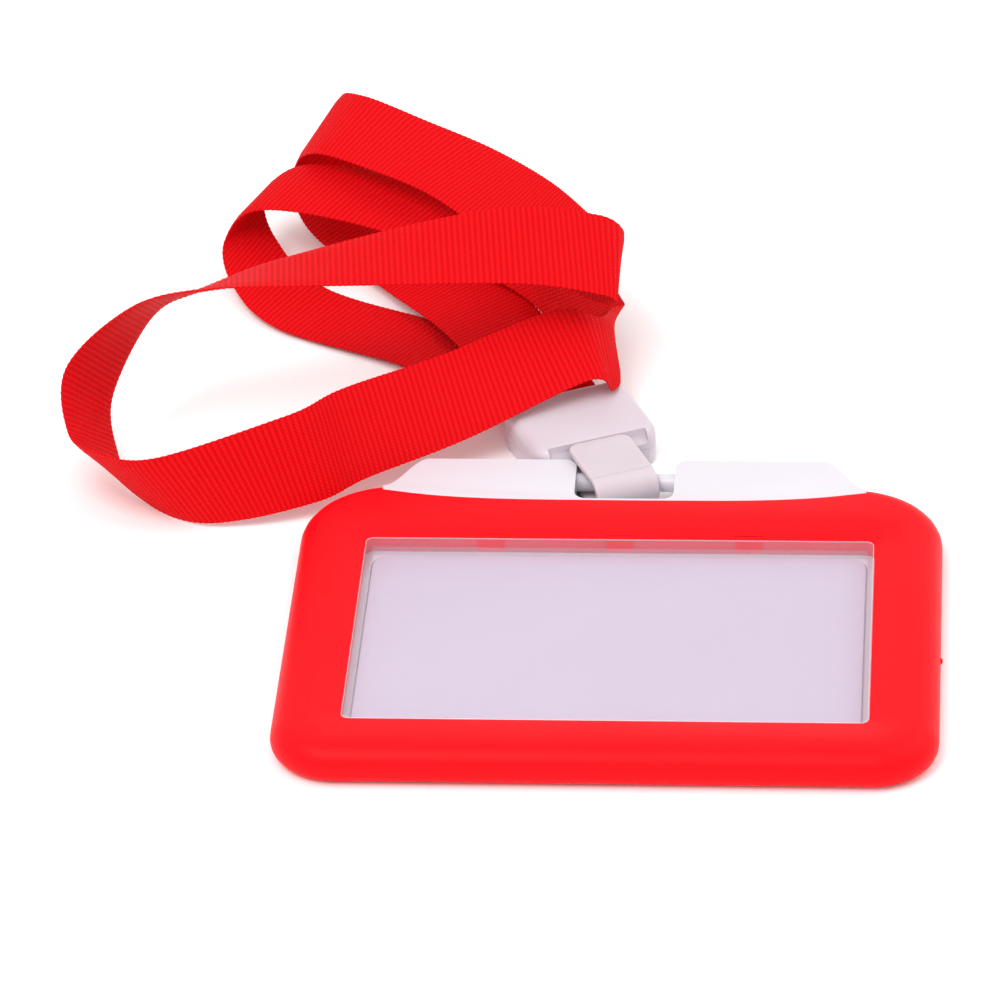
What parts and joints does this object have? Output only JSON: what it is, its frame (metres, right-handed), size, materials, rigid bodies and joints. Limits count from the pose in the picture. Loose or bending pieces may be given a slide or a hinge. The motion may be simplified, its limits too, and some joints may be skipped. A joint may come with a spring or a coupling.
{
  "type": "lanyard badge holder",
  "caption": "Soft red bumper round a rigid card box with a clear snap-in cover, hung from a ribbon neck loop by a swinging spring-hook clip.",
  "frame": {"origin": "centre of the holder's bounding box, at its back face on the surface it lies on", "axes": "+X along the holder's long side to the right, +Y from the card towards the hanging tab, +Z out of the clear front face"},
  "size_m": [0.1562, 0.2018, 0.0356],
  "materials": {
    "white_abs": "satin",
    "red_tpe": "satin",
    "clear_pc": "gloss",
    "card_pvc": "satin",
    "clip_plastic": "satin",
    "hook_plastic": "satin",
    "clamp_plastic": "matte",
    "ribbon_nylon": "matte"
  },
  "bodies": {
    "holder": {"rear_body": "white_abs", "bumper_frame": "red_tpe"},
    "cover": {"clear_cover": "clear_pc"},
    "card": {"card_blank": "card_pvc"},
    "clip": {"clip_back_shell": "clip_plastic", "clip_front_shell": "clip_plastic", "ribbon_clamp": "clamp_plastic", "hook_strap": "hook_plastic", "ribbon": "ribbon_nylon"},
    "tongue": {"hook_tongue": "hook_plastic"}
  },
  "joints": [
    {"name": "clip_swing", "type": "hinge", "parent": "holder", "child": "clip", "pos_m": [-0.0017, 0.0436, 0.00375], "axis": [0.9636, 0.2048, -0.1719], "range_deg": [0, 100]},
    {"name": "tongue_open", "type": "hinge", "parent": "clip", "child": "tongue", "pos_m": [-0.00056, 0.04104, 0.00675], "axis": [0.9136, 0.4067, 0], "range_deg": [0, 35], "stiffness_Nm_per_rad": 0.002},
    {"name": "cover_lift", "type": "slide", "parent": "holder", "child": "cover", "axis": [0, 0, 1], "range_m": [0, 0.012]},
    {"name": "card_lift", "type": "slide", "parent": "holder", "child": "card", "axis": [0, 0, 1], "range_m": [0, 0.006]}
  ],
  "couplings": [
    {"joint": "card_lift", "follows": "cover_lift", "ratio": 0.5}
  ]
}
